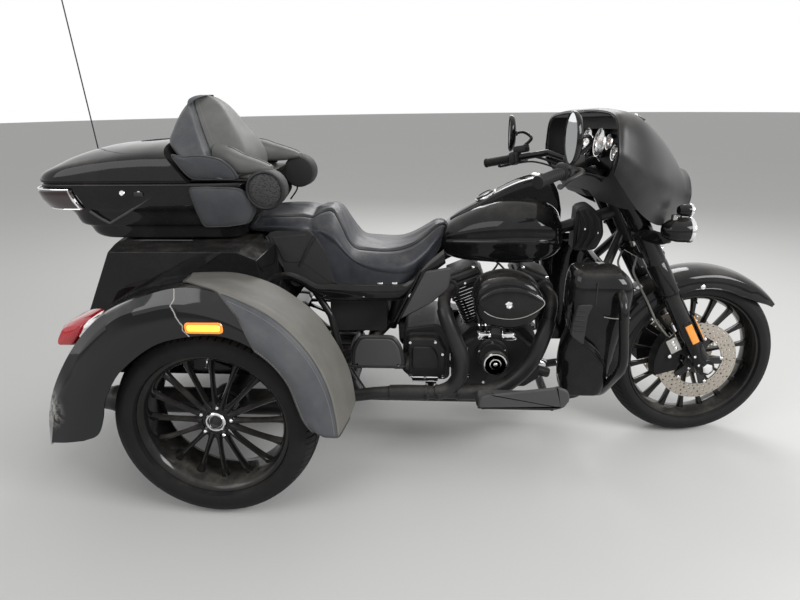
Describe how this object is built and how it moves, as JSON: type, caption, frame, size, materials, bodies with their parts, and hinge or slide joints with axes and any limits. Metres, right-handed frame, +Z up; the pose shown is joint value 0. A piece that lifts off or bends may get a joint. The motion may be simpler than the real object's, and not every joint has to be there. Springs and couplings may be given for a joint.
{
  "type": "motorized trike",
  "caption": "Three-wheeled touring motorcycle with a trunk body between covered rear wheels, a top case with backrest, a fork-mounted fairing and a V-twin engine.",
  "frame": {"origin": "on the ground under the middle of the overall box", "axes": "+X forward, +Y to the rider's left, +Z up"},
  "size_m": [2.7179, 1.404, 1.6901],
  "materials": {
    "black_frame": "satin black",
    "black_engine": "wrinkle and satin black",
    "gloss_black": "gloss black",
    "satin_black": "satin black",
    "dark_paint": "deep gloss black",
    "seat_leather": "smooth, low sheen",
    "grey_leather": "grained, dull",
    "cover_vinyl": "grained vinyl",
    "matte_black": "matte",
    "lamp_red": "clear gloss",
    "hose_rubber": "matte",
    "mirror_glass": "mirror",
    "tyre": "matte rubber",
    "rim_black": "gloss black",
    "disc_steel": "ground, lightly rusted"
  },
  "bodies": {
    "chassis": {"frame": "black_frame", "crankcase": "black_engine", "cylinders": "black_engine", "gearbox": "black_engine", "primary_cover": "gloss_black", "air_cleaner": "gloss_black", "exhaust_pipes": "satin_black", "mufflers": "satin_black", "fuel_tank": "dark_paint", "tank_console": "gloss_black", "seat": "seat_leather", "side_covers": "gloss_black", "battery_box": "matte_black", "trunk_body": "dark_paint", "rear_fender_right": "dark_paint", "rear_fender_left": "dark_paint", "fender_covers": "cover_vinyl", "rear_bumper": "black_frame", "rear_axle": "black_frame", "top_case": "dark_paint", "speaker_pods": "matte_black", "side_pads": "grey_leather", "case_mount": "black_frame", "rear_lamps": "lamp_red", "antenna": "satin_black", "leg_fairings": "dark_paint", "engine_guard": "gloss_black", "rider_footboards": "satin_black", "footboard_pins": "black_frame"},
    "trunk_door": {"trunk_door": "dark_paint"},
    "case_lid": {"case_lid": "dark_paint", "backrest": "grey_leather"},
    "footboard_right": {"passenger_footboard_right": "matte_black"},
    "footboard_left": {"passenger_footboard_left": "matte_black"},
    "steering": {"front_fork": "gloss_black", "front_fender": "dark_paint", "brake_calipers": "black_engine", "brake_hoses": "hose_rubber", "handlebar": "gloss_black", "hand_controls": "matte_black", "mirrors": "mirror_glass", "fairing_outer": "dark_paint", "fairing_inner": "matte_black", "front_lamps": "gloss_black"},
    "front_wheel": {"front_tyre": "tyre", "front_rim": "rim_black", "front_discs": "disc_steel"},
    "rear_wheel_right": {"rear_tyre_right": "tyre", "rear_rim_right": "rim_black"},
    "rear_wheel_left": {"rear_tyre_left": "tyre", "rear_rim_left": "rim_black"}
  },
  "joints": [
    {"name": "steering", "type": "hinge", "parent": "chassis", "child": "steering", "pos_m": [0.73543, 0, 0.85], "axis": [-0.4384, 0, 0.8988], "range_deg": [-41, 29]},
    {"name": "front_wheel_spin", "type": "hinge", "parent": "steering", "child": "front_wheel", "pos_m": [1.0398, 0.00428, 0.3189], "axis": [-0.0939, 0.9945, -0.0458], "continuous": true},
    {"name": "rear_wheel_right_spin", "type": "hinge", "parent": "chassis", "child": "rear_wheel_right", "pos_m": [-0.63, -0.5375, 0.325], "axis": [0, 1, 0], "continuous": true},
    {"name": "rear_wheel_left_spin", "type": "hinge", "parent": "chassis", "child": "rear_wheel_left", "pos_m": [-0.63, 0.5375, 0.325], "axis": [0, 1, 0], "continuous": true},
    {"name": "trunk_door_hinge", "type": "hinge", "parent": "chassis", "child": "trunk_door", "pos_m": [-1.232, 0, 0.478], "axis": [0, -1, 0], "range_deg": [0, 88]},
    {"name": "case_lid_hinge", "type": "hinge", "parent": "chassis", "child": "case_lid", "pos_m": [-0.9, 0.29, 1.024], "axis": [-1, 0, 0], "range_deg": [0, 75]},
    {"name": "footboard_right_fold", "type": "hinge", "parent": "chassis", "child": "footboard_right", "pos_m": [-0.147, -0.268, 0.372], "axis": [1, 0, 0], "range_deg": [0, 85]},
    {"name": "footboard_left_fold", "type": "hinge", "parent": "chassis", "child": "footboard_left", "pos_m": [-0.147, 0.268, 0.372], "axis": [-1, 0, 0], "range_deg": [0, 85]}
  ]
}
